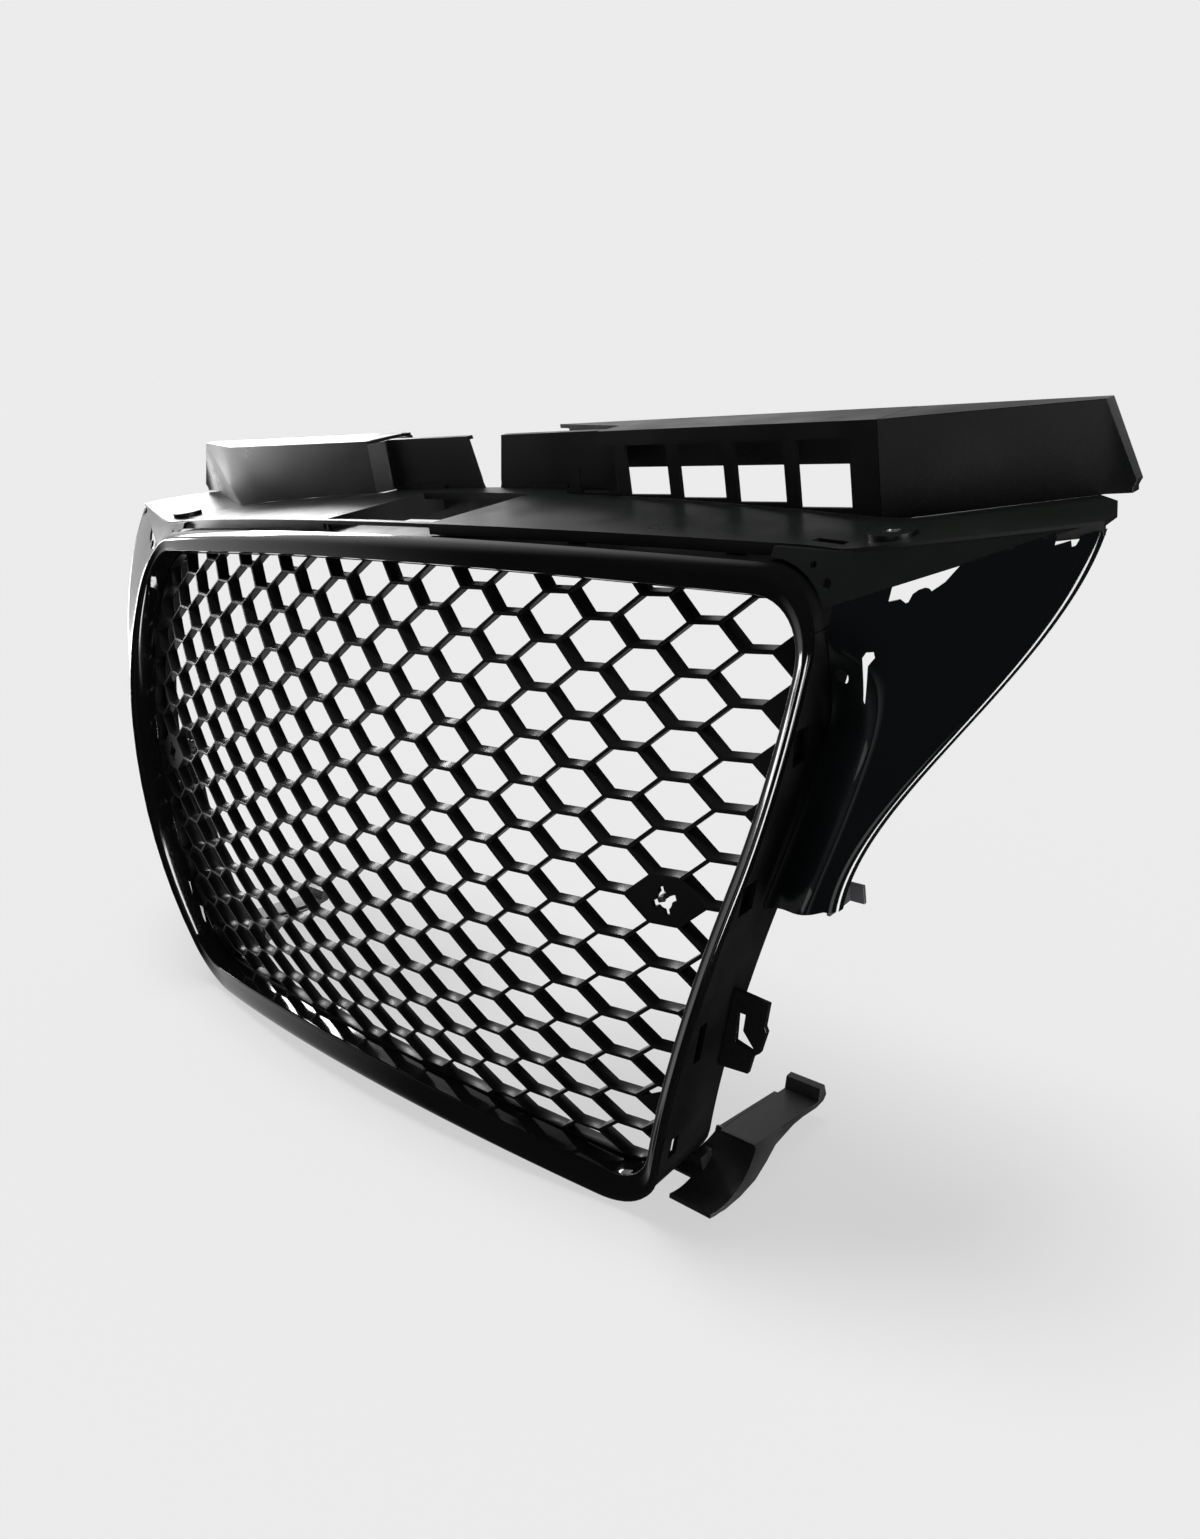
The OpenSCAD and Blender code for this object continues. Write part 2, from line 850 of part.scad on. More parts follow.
// Spring clip behind the wing's lower corner
module wing_clip() {
  block(350, 360, 62, 64, 4, 14);
  block(350, 352, 44, 62, 4, 14);
}

module right_wing_clip() {
  color("dimgray")
    at_face()
      wing_clip();
}

module left_wing_clip() {
  color("dimgray")
    at_face()
      mirror([1, 0, 0])
        wing_clip();
}

module insert_screws() {
  color("silver")
    at_face() {
      top_pins(4, lip_back - 0.1, -4.5);
      top_pins(8, lip_back - 2.7, lip_back - 0.1);
      bottom_pins(4, lip_back - 0.1, -4.5);
      bottom_pins(8, lip_back - 2.7, lip_back - 0.1);
    }
}

module rail_screws() {
  color("silver")
    at_face() {
      side_pins(3, lip_back - 0.1, -4.5);
      side_pins(6, lip_back - 2.1, lip_back - 0.1);
    }
}

module arm_screws() {
  color("silver")
    at_face()
      both_sides() {
        along_x(236, arm_x + 1)
          translate(arm_screw)
            circle(d = 4, $fn = 48);
        along_x(233.5, 236.1)
          translate(arm_screw)
            circle(d = 8, $fn = 48);
      }
}

bezel_frame();
honeycomb_insert();
plate_anchors();
top_rail();
bottom_rail();
right_side_rail();
left_side_rail();
upper_carrier();
intake_box();
right_horn();
left_pod();
right_wing();
left_wing();
right_side_clip();
left_side_clip();
right_lower_arm();
left_lower_arm();
right_wing_clip();
left_wing_clip();
insert_screws();
rail_screws();
arm_screws();
fixing_sleeves();
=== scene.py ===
from math import asin, atan2, cos, hypot, pi, radians, sin, sqrt, tan

import bmesh
import bpy
from mathutils import Matrix, Vector
from mathutils.geometry import tessellate_polygon


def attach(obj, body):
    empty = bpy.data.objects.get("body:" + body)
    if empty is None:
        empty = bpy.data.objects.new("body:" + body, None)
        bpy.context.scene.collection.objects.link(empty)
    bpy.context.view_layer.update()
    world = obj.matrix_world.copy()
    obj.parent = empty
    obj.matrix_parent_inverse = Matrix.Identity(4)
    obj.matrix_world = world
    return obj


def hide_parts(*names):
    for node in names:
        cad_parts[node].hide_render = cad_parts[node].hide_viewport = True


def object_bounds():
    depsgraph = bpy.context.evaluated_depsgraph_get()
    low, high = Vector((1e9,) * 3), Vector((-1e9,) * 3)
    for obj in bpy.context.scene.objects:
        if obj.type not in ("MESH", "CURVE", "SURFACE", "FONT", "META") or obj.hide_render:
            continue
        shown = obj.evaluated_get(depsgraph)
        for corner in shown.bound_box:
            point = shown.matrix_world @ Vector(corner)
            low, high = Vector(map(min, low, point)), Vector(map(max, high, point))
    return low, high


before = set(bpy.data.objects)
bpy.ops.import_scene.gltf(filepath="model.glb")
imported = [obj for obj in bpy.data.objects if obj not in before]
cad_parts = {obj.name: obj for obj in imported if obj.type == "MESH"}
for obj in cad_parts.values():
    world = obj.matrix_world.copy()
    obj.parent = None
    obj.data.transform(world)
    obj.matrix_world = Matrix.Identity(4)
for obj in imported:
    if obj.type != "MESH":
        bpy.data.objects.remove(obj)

CAD_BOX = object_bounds()
scene = bpy.context.scene
MM = 0.001
WELD, FLATTEN = 2e-5, radians(0.6)   # cleaning limits for the CAD's triangles

# ---- the part's own numbers, in millimetres in the face's frame ----

FACE = Vector((0, -130, -172))       # from the face's frame to the record's frame
SKIN = 2.6                           # wall thickness of the wings
PROFILE_R, PROFILE_Z = 483, -116     # the face's upright section
PLAN_R = 1576                        # the face seen from above
RHO = PLAN_R - sqrt(PROFILE_R ** 2 - PROFILE_Z ** 2)

OPEN_TOP, OPEN_BOTTOM = 158, 162     # the opening's edges on the centre line
CROWN_R, SILL_R = 3900, 2150
SIDE_R, SIDE_Z, SIDE_LEAN = 350, 130, radians(18.3)
HALF_OPEN = 325
SIDE_X = HALF_OPEN - SIDE_R

PITCH_X, PITCH_Z = 33, 24.4          # spacing of the cells
CELL_TIP, CELL_FLAT, CELL_HALF = 24.3, 8.7, 12.2
CELL_WALL, CELL_DEPTH = 2.2, 8
WEB = 2.4                            # front wall of the two closed cells
COLUMNS, ROWS, ANCHOR_COLUMN = 9, 7, 8
EDGE_FRONT, EDGE_BACK = 0.7, 0.25    # rounding of the cell walls
SMALLEST_HOLE = 6                    # twice the area; smaller cells are left closed

LIP_BACK = -10.8                     # where the screws' heads sit, behind the face
SCREW_OUT = 6                        # from the opening's edge to the insert's screws
CARRIER_HALF = 442                   # half the part's width

SEAM_X, SEAM_Z, SEAM_SLOPE = 337, 145, 0.294    # the line where a wing meets the carrier
WING_ROOT, WING_LOW_X = 335, 360     # the wing's upper inner corner and lower outer corner
WING_FOOT, WING_TIP = -5, 11         # heights of the wing's lower corners
WING_PROUD = 7                       # the wing's front, in front of the face
WING_ROLL = 6                        # radius of the wing's rolled outer edge
BEZEL_SIDE = 9.4                     # from the opening to where a wing starts
DIP, DIP_FROM, DIP_OVER, DIP_WIDTH = 24, 142, 60, 42    # hollow next to the bezel
WING_HOLE = (339.5, 111, 4)          # x, z and radius


def face_y(x, z, h=0.0):
    """Depth of the curved face at x, z, moved forward by h."""
    bulge = RHO + sqrt((PROFILE_R + h) ** 2 - (z - PROFILE_Z) ** 2)
    return PLAN_R - sqrt(bulge ** 2 - x * x)


def place(x, y, z):
    """A point of the face's frame in the record's frame, in metres."""
    return (Vector((x, y, z)) + FACE) * MM


def on_face(x, z, h):
    return place(x, face_y(x, z, h), z)


def ease(t):
    """Goes smoothly from 0 to 1."""
    t = min(1.0, max(0.0, t))
    return t * t * (3 - 2 * t)


def edge_x(z, g):
    """The opening's side at height z, moved out by g."""
    low = SIDE_Z - (SIDE_R + g) * sin(SIDE_LEAN)
    if z < low:
        return SIDE_X + (SIDE_R + g) * cos(SIDE_LEAN) + (z - low) * tan(SIDE_LEAN)
    return SIDE_X + sqrt((SIDE_R + g) ** 2 - (z - SIDE_Z) ** 2)


def seam(x):
    """Height of the line where a wing meets the carrier."""
    return SEAM_Z + SEAM_SLOPE * (abs(x) - SEAM_X)


def wing_x(z):
    """The wing's outer edge at height z."""
    return WING_LOW_X + (CARRIER_HALF - WING_LOW_X) * ease((z - 5) / 170)


def arc(c, r, a, b, n):
    """Points on a circle round c, from angle a to angle b."""
    return [Vector((c[0] + r * cos(a + (b - a) * i / n), c[1] + r * sin(a + (b - a) * i / n)))
            for i in range(n + 1)]


def crossing(a, ra, b, rb):
    """Where the circle round a meets the circle round b, on the outer side."""
    d = (b - a).length
    k = (d * d + ra * ra - rb * rb) / (2 * d)
    e = (b - a) / d
    h = sqrt(ra * ra - k * k)
    side = Vector((e.y, -e.x))
    return a + k * e + (h if e.y > 0 else -h) * side


def heading(v):
    return atan2(v.y, v.x)


def outline(s, t, b, corner, counts=(20, 12, 20, 12, 20)):
    """Closed loop: the opening grown by s at the sides, t at the top, b at the bottom."""
    side_c = Vector((SIDE_X, SIDE_Z))
    top_c = Vector((0, OPEN_TOP - CROWN_R))
    low_c = Vector((0, -OPEN_BOTTOM - b - SILL_R))
    top_corner = crossing(top_c, CROWN_R + t - corner, side_c, SIDE_R + s - corner)
    lean = Vector((cos(SIDE_LEAN), -sin(SIDE_LEAN)))
    down = Vector((-sin(SIDE_LEAN), -cos(SIDE_LEAN)))
    start = side_c + (SIDE_R + s - corner) * lean
    q = start - low_c
    along = -q.dot(down) - sqrt(q.dot(down) ** 2 - q.dot(q) + (SILL_R + corner) ** 2)
    low_corner = start + along * down
    low_turn = heading(low_c - low_corner)
    n = counts
    loop = arc(low_c, SILL_R, pi / 2, low_turn + pi, n[0])
    loop += arc(low_corner, corner, low_turn, -SIDE_LEAN, n[1])
    straight = loop[-1]
    side = arc(side_c, SIDE_R + s, -SIDE_LEAN, heading(top_corner - side_c), n[2])
    loop += [straight.lerp(side[0], i / 8) for i in range(1, 8)]
    loop += side
    loop += arc(top_corner, corner, heading(top_corner - side_c), heading(top_corner - top_c), n[3])
    loop += arc(top_c, CROWN_R + t, heading(top_corner - top_c), pi / 2, n[4])
    points = [loop[0]]
    for p in loop[1:]:
        if (p - points[-1]).length > 1e-3:
            points.append(p)
    return points + [Vector((-p.x, p.y)) for p in points[-2:0:-1]]


# ---- mesh helpers ----

def new_piece(name, bm, material, node, smooth=35):
    """An object from bm that stands for a CAD node in the visual model."""
    bmesh.ops.recalc_face_normals(bm, faces=bm.faces)
    mesh = bpy.data.meshes.new(name)
    bm.to_mesh(mesh)
    bm.free()
    for attribute in [a.name for a in mesh.attributes if a.name == "custom_normal"]:
        mesh.attributes.remove(mesh.attributes[attribute])
    mesh.polygons.foreach_set("use_smooth", [True] * len(mesh.polygons))
    mesh.set_sharp_from_angle(angle=radians(smooth))
    mesh.materials.clear()
    mesh.materials.append(material)
    piece = bpy.data.objects.new(name, mesh)
    scene.collection.objects.link(piece)
    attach(piece, "root")
    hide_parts(node)
    return piece


def loft(bm, loops, closed=True):
    """Quads between loops of equal length; each loop is closed, and so is the row of loops if closed."""
    rows = [[bm.verts.new(p) for p in loop] for loop in loops]
    pairs = list(zip(rows, rows[1:])) + ([(rows[-1], rows[0])] if closed else [])
    for a, b in pairs:
        for i in range(len(a)):
            j = (i + 1) % len(a)
            bm.faces.new((a[i], a[j], b[j], b[i]))
    return rows


def spline(points, steps):
    """Catmull-Rom curve through a list of tuples."""
    out = []
    n = len(points)
    for i in range(n - 1):
        p0, p1 = points[max(0, i - 1)], points[i]
        p2, p3 = points[i + 1], points[min(n - 1, i + 2)]
        for k in range(steps):
            t = k / steps
            out.append(tuple(
                0.5 * (2 * b + (c - a) * t + (2 * a - 5 * b + 4 * c - d) * t * t
                       + (3 * b - a - 3 * c + d) * t ** 3)
                for a, b, c, d in zip(p0, p1, p2, p3)))
    out.append(points[-1])
    return out


def rounded_copy(node, width, material, segments=2, angle=28):
    """The CAD node's shape with its sharp edges rounded."""
    bm = bmesh.new()
    bm.from_mesh(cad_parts[node].data)
    bmesh.ops.remove_doubles(bm, verts=bm.verts, dist=WELD)
    bmesh.ops.dissolve_limit(bm, angle_limit=FLATTEN, verts=bm.verts, edges=bm.edges)
    bmesh.ops.recalc_face_normals(bm, faces=bm.faces)
    sharp = [e for e in bm.edges if len(e.link_faces) == 2 and e.calc_face_angle(0) > radians(angle)]
    bmesh.ops.bevel(bm, geom=sharp, offset=width * MM, segments=segments, profile=0.5,
                    affect="EDGES", clamp_overlap=True)
    piece = new_piece(node + "_shell", bm, material, node)
    flat = piece.modifiers.new("flat_faces", "WEIGHTED_NORMAL")
    flat.keep_sharp = True
    return piece


# ---- materials ----

MOTTLE, MOTTLE_SCALE = 0.25, 22      # share and size of the slow changes of gloss
GRAIN_HEIGHT = 0.0004                # metres


def plastic(name, colour, rough, specular, grain, grain_scale=900, metal=0.0):
    """Moulded plastic: fine grain, slow changes of gloss, faint tone changes."""
    m = bpy.data.materials.new(name)
    m.use_nodes = True
    tree = m.node_tree
    tree.nodes.clear()
    link = tree.links.new
    out = tree.nodes.new("ShaderNodeOutputMaterial")
    bsdf = tree.nodes.new("ShaderNodeBsdfPrincipled")
    link(bsdf.outputs["BSDF"], out.inputs["Surface"])
    bsdf.inputs["Metallic"].default_value = metal
    bsdf.inputs["Specular IOR Level"].default_value = specular
    where = tree.nodes.new("ShaderNodeTexCoord")
    slow = tree.nodes.new("ShaderNodeTexNoise")
    slow.inputs["Scale"].default_value = MOTTLE_SCALE
    slow.inputs["Detail"].default_value = 4
    link(where.outputs["Object"], slow.inputs["Vector"])
    gloss = tree.nodes.new("ShaderNodeMapRange")
    gloss.inputs["From Min"].default_value = 0.3
    gloss.inputs["From Max"].default_value = 0.7
    gloss.inputs["To Min"].default_value = rough * (1 - MOTTLE)
    gloss.inputs["To Max"].default_value = rough * (1 + MOTTLE)
    link(slow.outputs["Fac"], gloss.inputs["Value"])
    link(gloss.outputs["Result"], bsdf.inputs["Roughness"])
    tone = tree.nodes.new("ShaderNodeMix")
    tone.data_type = "RGBA"
    tone.inputs["A"].default_value = (*[c * 0.8 for c in colour], 1)
    tone.inputs["B"].default_value = (*[c * 1.25 for c in colour], 1)
    link(slow.outputs["Fac"], tone.inputs["Factor"])
    link(tone.outputs["Result"], bsdf.inputs["Base Color"])
    fine = tree.nodes.new("ShaderNodeTexNoise")
    fine.inputs["Scale"].default_value = grain_scale
    fine.inputs["Detail"].default_value = 3
    link(where.outputs["Object"], fine.inputs["Vector"])
    bump = tree.nodes.new("ShaderNodeBump")
    bump.inputs["Strength"].default_value = grain
    bump.inputs["Distance"].default_value = GRAIN_HEIGHT
    link(fine.outputs["Fac"], bump.inputs["Height"])
    link(bump.outputs["Normal"], bsdf.inputs["Normal"])
    return m


BEZEL = plastic("bezel_gloss_black", (0.004, 0.004, 0.004), 0.07, 0.42, 0.015, 300)
MESH = plastic("mesh_satin_black", (0.007, 0.0075, 0.007), 0.34, 0.17, 0.04, 1500)
RAIL = plastic("rail_satin_black", (0.004, 0.004, 0.004), 0.38, 0.16, 0.03, 500)
CARRIER = plastic("carrier_grained_black", (0.009, 0.0105, 0.0095), 0.36, 0.27, 0.22, 1600)
WING = plastic("wing_gloss_black", (0.004, 0.005, 0.0055), 0.11, 0.42, 0.02, 260)
ARM = plastic("arm_grained_black", (0.009, 0.011, 0.0095), 0.4, 0.4, 0.5, 1400)
CLIP = plastic("clip_black", (0.008, 0.008, 0.008), 0.3, 0.35, 0.1)
CLIP_GREY = plastic("clip_grey", (0.1, 0.1, 0.11), 0.4, 0.4, 0.1)
STEEL = plastic("screw_zinc", (0.55, 0.55, 0.56), 0.3, 0.5, 0.1, metal=1.0)


# ---- bezel: one rounded section carried round the opening ----

# s, t, b: how far out from the opening at the sides, top and bottom; h: in front of the face
SECTION = [
    (0.0, 0.0, 0.0, 0.3), (0.6, 1.3, 0.1, 5.0), (1.6, 3.2, 0.3, 11.0), (2.2, 4.4, 0.4, 14.0),
    (2.6, 4.9, 0.8, 14.9), (3.1, 5.5, 1.5, 15.2), (4.6, 7.6, 5.0, 15.8), (6.4, 10.6, 11.0, 17.0),
    (7.8, 13.2, 17.0, 17.9), (8.8, 15.2, 21.0, 17.7), (9.6, 16.9, 23.8, 16.3), (10.0, 18.0, 24.8, 13.6)]
INSIDE = [
    (9.2, 16.8, 23.7, 13.4), (9.1, 16.6, 23.4, 15.4), (6.0, 11.0, 13.0, 15.3), (4.6, 7.4, 5.4, 13.6),
    (3.4, 5.6, 3.4, 10.0), (2.7, 3.4, 2.8, 5.0), (2.4, 2.4, 2.6, 0.3)]


def bezel_loop(s, t, b, h):
    """One loop round the opening, with larger corners further out."""
    corner = 30 + 14 * s / 10
    return [on_face(p.x, p.y, h) for p in outline(s, t, b, corner)]


def make_bezel():
    bm = bmesh.new()
    stations = spline(SECTION, 4) + INSIDE
    loft(bm, [bezel_loop(*p) for p in stations])
    return new_piece("bezel_shell", bm, BEZEL, "bezel_frame", smooth=50)


# ---- honeycomb ----

STAR_R, STAR_REACH, STAR_HALF, STAR_TURN = 5, 7.5, 1.7, 20    # hole in the closed cells
NEAR_EDGE = 48                       # how far from a cell's middle the rim can still cut it
SAME_POINT = 0.05


def inside_clip(poly, loop):
    """The part of a small convex polygon that lies inside a closed loop."""
    centre = sum(poly, Vector((0, 0))) / len(poly)
    area = sum(a.x * b.y - b.x * a.y for a, b in zip(loop, loop[1:] + loop[:1]))
    turn = 1 if area > 0 else -1
    crossings, near = 0, []
    for a, b in zip(loop, loop[1:] + loop[:1]):
        if (a.y > centre.y) != (b.y > centre.y):
            crossings += a.x + (b.x - a.x) * (centre.y - a.y) / (b.y - a.y) > centre.x
        t = max(0.0, min(1.0, (centre - a).dot(b - a) / (b - a).length_squared))
        if (a + t * (b - a) - centre).length < NEAR_EDGE:
            near.append((a, b))
    if not near and crossings % 2 == 0:
        return []
    for a, b in near:
        n = Vector((-(b - a).y, (b - a).x)).normalized() * turn
        kept = []
        for p, q in zip(poly, poly[1:] + poly[:1]):
            dp, dq = (p - a).dot(n), (q - a).dot(n)
            if dp >= 0:
                kept.append(p)
            if (dp > 0) != (dq > 0) and abs(dp - dq) > 1e-9:
                kept.append(p + (q - p) * dp / (dp - dq))
        poly = kept
    clean = []
    for p in poly:
        if not clean or (p - clean[-1]).length > SAME_POINT:
            clean.append(p)
    if len(clean) > 2 and (clean[0] - clean[-1]).length < SAME_POINT:
        clean.pop()
    return clean if len(clean) > 2 else []


def grown(poly, d):
    """A convex polygon, counter-clockwise, moved outward by d."""
    out = []
    n = len(poly)
    for i in range(n):
        a, b, c = poly[i - 1], poly[i], poly[(i + 1) % n]
        e1, e2 = (b - a).normalized(), (c - b).normalized()
        n1, n2 = Vector((e1.y, -e1.x)), Vector((e2.y, -e2.x))
        k = 1 + n1.dot(n2)
        out.append(b + (n1 + n2) * d / max(0.5, k))
    return out


def anchor_star():
    """Round hole with four notches, as one polygon."""
    pts = []
    root = sqrt(STAR_R ** 2 - STAR_HALF ** 2)
    start = atan2(STAR_HALF, root)
    for i in range(4):
        a = radians(STAR_TURN + 90 * i)
        c, side = Vector((cos(a), sin(a))), Vector((-sin(a), cos(a))) * STAR_HALF
        pts += [c * root - side, c * STAR_REACH - side, c * STAR_REACH + side, c * root + side]
        for k in range(1, 5):
            t = a + start + (pi / 2 - 2 * start) * k / 5
            pts.append(Vector((cos(t), sin(t))) * STAR_R)
    return pts


def make_honeycomb():
    """Cell by cell: front and back sheets with a walled hole, then the outer edge."""
    bm = bmesh.new()
    slope = hypot(CELL_TIP - CELL_FLAT, CELL_HALF) / CELL_HALF
    tip = CELL_TIP - slope * CELL_WALL / 2
    top = CELL_HALF - CELL_WALL / 2
    flat = tip - top * (CELL_TIP - CELL_FLAT) / CELL_HALF
    hexagon = [(tip, 0), (flat, top), (-flat, top), (-tip, 0), (-flat, -top), (flat, -top)]
    tile = [(CELL_TIP, 0), (CELL_FLAT, CELL_HALF), (-CELL_FLAT, CELL_HALF), (-CELL_TIP, 0),
            (-CELL_FLAT, -CELL_HALF), (CELL_FLAT, -CELL_HALF)]
    rim = outline(2.4, 12, 14, 34)          # the insert's edge, behind the bezel
    hole_rim = outline(-1, -1, -1, 30)      # no cell opens beyond this line

    def point(p, h):
        return Vector((p.x, face_y(p.x, p.y, h), p.y))

    def add_loop(loop, h):
        return [bm.verts.new((point(p, h) + FACE) * MM) for p in loop]

    def add_ring(a, b):
        for i in range(len(a)):
            j = (i + 1) % len(a)
            bm.faces.new((a[i], a[j], b[j], b[i]))

    def add_sheet(outer, inner, h):
        """The region between two polygons, at offset h; inner may be empty."""
        loops = [[point(p, h) for p in loop] for loop in (outer, inner) if loop]
        verts = add_loop(outer + inner, h)
        for tri in tessellate_polygon(loops):
            if len(set(tri)) == 3:
                bm.faces.new([verts[i] for i in tri])

    def add_wall(poly, back):
        """Walls of a hole with small rounded edges at the front and at the back."""
        steps = [(EDGE_FRONT, 0), (0.34, -0.08), (0.1, -0.28), (0.0, -0.6),
                 (0.0, back + 0.3), (EDGE_BACK, back)]
        rows = [add_loop(grown(poly, grow), h) for grow, h in steps]
        for a, b in zip(rows, rows[1:]):
            add_ring(a, b)

    for u in range(-COLUMNS - 1, COLUMNS + 2):
        for k in range(-ROWS - 1, ROWS + 2):
            c = Vector((PITCH_X * u, PITCH_Z * (k + (0.5 if u % 2 else 0))))
            outer = inside_clip([c + Vector(p) for p in tile], rim)
            if not outer:
                continue
            pocket = [c + Vector(p) for p in hexagon]
            if abs(u) == ANCHOR_COLUMN and k == 0:
                hole = [c + p for p in anchor_star()]
                add_sheet(outer, hole, 0)
                add_sheet(pocket, hole, -WEB)
                add_sheet(outer, grown(pocket, EDGE_BACK), -CELL_DEPTH)
                add_ring(add_loop(hole, 0), add_loop(hole, -WEB))
                add_ring(add_loop(pocket, -WEB), add_loop(grown(pocket, EDGE_BACK), -CELL_DEPTH))
                continue
            hole = []
            if abs(u) <= COLUMNS and abs(k) <= ROWS:
                hole = inside_clip(pocket, hole_rim)
            if abs(sum(a.x * b.y - b.x * a.y for a, b in zip(hole, hole[1:] + hole[:1]))) < SMALLEST_HOLE:
                hole = []
            if hole:
                add_wall(hole, -CELL_DEPTH)
            add_sheet(outer, grown(hole, EDGE_FRONT), 0)
            add_sheet(outer, grown(hole, EDGE_BACK), -CELL_DEPTH)
    add_ring(add_loop(rim, 0), add_loop(rim, -CELL_DEPTH))
    bmesh.ops.remove_doubles(bm, verts=bm.verts, dist=1e-5)
    return new_piece("honeycomb_shell", bm, MESH, "honeycomb_insert", smooth=40)


# ---- wings ----

def wing_point(u, v):
    """A point of the wing's front: u from the bezel outward, v from the foot up."""
    z_in = WING_FOOT + v * (seam(WING_ROOT) - WING_FOOT)
    z_out = WING_TIP + v * (seam(CARRIER_HALF) - WING_TIP)
    z = z_in + u * (z_out - z_in)
    x_in = edge_x(z_in, BEZEL_SIDE)
    x = x_in + u * (wing_x(z_out) - WING_ROLL - x_in)
    dip = DIP * ease((DIP_FROM - z) / DIP_OVER)
    h = WING_PROUD - dip * (1 - ease((x - x_in) / DIP_WIDTH))
    return x, face_y(x, z, h), z


def cutter(points, y0, y1, side):
    """A prism along Y used to cut holes."""
    bm = bmesh.new()
    rows = [[bm.verts.new(place(side * x, y, z)) for x, z in points] for y in (y0, y1)]
    n = len(points)
    for i in range(n):
        bm.faces.new((rows[0][i], rows[0][(i + 1) % n], rows[1][(i + 1) % n], rows[1][i]))
    bm.faces.new(rows[0])
    bm.faces.new(rows[1])
    bmesh.ops.recalc_face_normals(bm, faces=bm.faces)
    mesh = bpy.data.meshes.new("cutter")
    bm.to_mesh(mesh)
    bm.free()
    o = bpy.data.objects.new("cutter", mesh)
    scene.collection.objects.link(o)
    return o


def cut(piece, cutters):
    """Takes the cutters out of the piece, then deletes them."""
    for c in cutters:
        mod = piece.modifiers.new("cut", "BOOLEAN")
        mod.operation, mod.solver, mod.object = "DIFFERENCE", "EXACT", c
    graph = bpy.context.evaluated_depsgraph_get()
    mesh = bpy.data.meshes.new_from_object(piece.evaluated_get(graph))
    piece.modifiers.clear()
    piece.data = mesh
    for c in cutters:
        bpy.data.objects.remove(c)


def circle_points(x, z, r, n=32):
    return [(x + r * cos(2 * pi * i / n), z + r * sin(2 * pi * i / n)) for i in range(n)]


def below_seam(points):
    """Points given by x and by height from the seam."""
    return [(x, seam(x) + d) for x, d in points]


def make_wing(side, node):
    """A curved panel with a rolled outer edge, then its gaps, slit and hole; side is 1 or -1."""
    bm = bmesh.new()
    nu, nv = 36, 48
    rows = []
    for j in range(nv + 1):
        v = j / nv
        front = [wing_point(i / nu, v) for i in range(nu + 1)]
        x1, y1, z1 = front[-1]
        turns = [radians(d) for d in (10, 20, 30, 40, 50, 60, 70, 80, 90)]
        roll = [(x1 + WING_ROLL * sin(a), y1 + WING_ROLL * (1 - cos(a)), z1) for a in turns]
        inner = WING_ROLL - SKIN * 0.8
        x2, y2 = x1 + WING_ROLL, y1 + WING_ROLL + 1.5
        back_turn = [(x2, y2, z1), (x2 - SKIN * 0.8, y2, z1)]
        back_turn += [(x1 + inner * sin(a), y1 + WING_ROLL - inner * cos(a), z1) for a in reversed(turns)]
        back = [(x, y + SKIN * 0.8, z) for x, y, z in reversed(front)]
        rows.append([place(side * x, y, z) for x, y, z in front + roll + back_turn + back])
    made = loft(bm, rows, closed=False)
    n = len(rows[0])
    for row in (made[0], made[-1]):
        for i in range(n // 2):
            if n - 2 - i > i + 1:
                bm.faces.new((row[i], row[i + 1], row[n - 2 - i], row[n - 1 - i]))
            elif n - 2 - i == i + 1:
                bm.faces.new((row[i], row[i + 1], row[n - 1 - i]))
    piece = new_piece("wing_shell_" + ("right" if side > 0 else "left"), bm, WING, node)
    tab_gap = below_seam([
        (359, -5.5), (364, -6), (367, -8.6), (369, -8.4), (370, -5.4), (372, -4.4), (374, -4.4),
        (376, -5.4), (377.4, -7), (383, -4.5), (388, 1), (388, 4), (359, 4)])
    end_gap = below_seam([
        (424, -3.6), (430, -3.8), (431, -6.5), (433, -6.5), (434, -3.8), (447, -4), (447, 4), (424, 4)])
    slit = [(350.6, 121), (352.4, 101.4), (353.8, 99.8), (355.4, 101.6), (355.2, 118.5),
            (358.6, 122.6), (357.6, 125), (353, 124.4)]
    cut(piece, [cutter(tab_gap, -20, 220, side), cutter(end_gap, -20, 240, side),
                cutter(slit, 20, 200, side), cutter(circle_points(*WING_HOLE), 20, 200, side)])
    piece.data.set_sharp_from_angle(angle=radians(32))
    return piece


# ---- screws ----

SIDES, LOBES = 32, 6                 # of a turned shape and of its socket


def lathe(bm, profile, matrix):
    """Turned shape from (radius, height, lobe depth) rows, closed at both ends."""
    rows = []
    turns = [2 * pi * i / SIDES for i in range(SIDES)]
    for radius, h, lobe in profile:
        ring = []
        for t in turns:
            r = radius * (1 + lobe * cos(LOBES * t)) * MM
            ring.append(bm.verts.new(matrix @ Vector((r * cos(t), r * sin(t), h * MM))))
        rows.append(ring)
    for a, b in zip(rows, rows[1:]):
        for i in range(SIDES):
            j = (i + 1) % SIDES
            bm.faces.new((a[i], a[j], b[j], b[i]))
    bm.faces.new(rows[0])
    bm.faces.new(rows[-1])


def face_frame(x, z, h):
    """Frame on the face whose Z axis points back into the part."""
    turn = asin(x / (PLAN_R - face_y(0, z, h)))
    tilt = -asin((z - PROFILE_Z) / (PROFILE_R + h))
    out = Matrix.Rotation(turn, 4, "Z") @ Matrix.Rotation(tilt, 4, "X") @ Matrix.Rotation(-pi / 2, 4, "X")
    return Matrix.Translation(on_face(x, z, h)) @ out


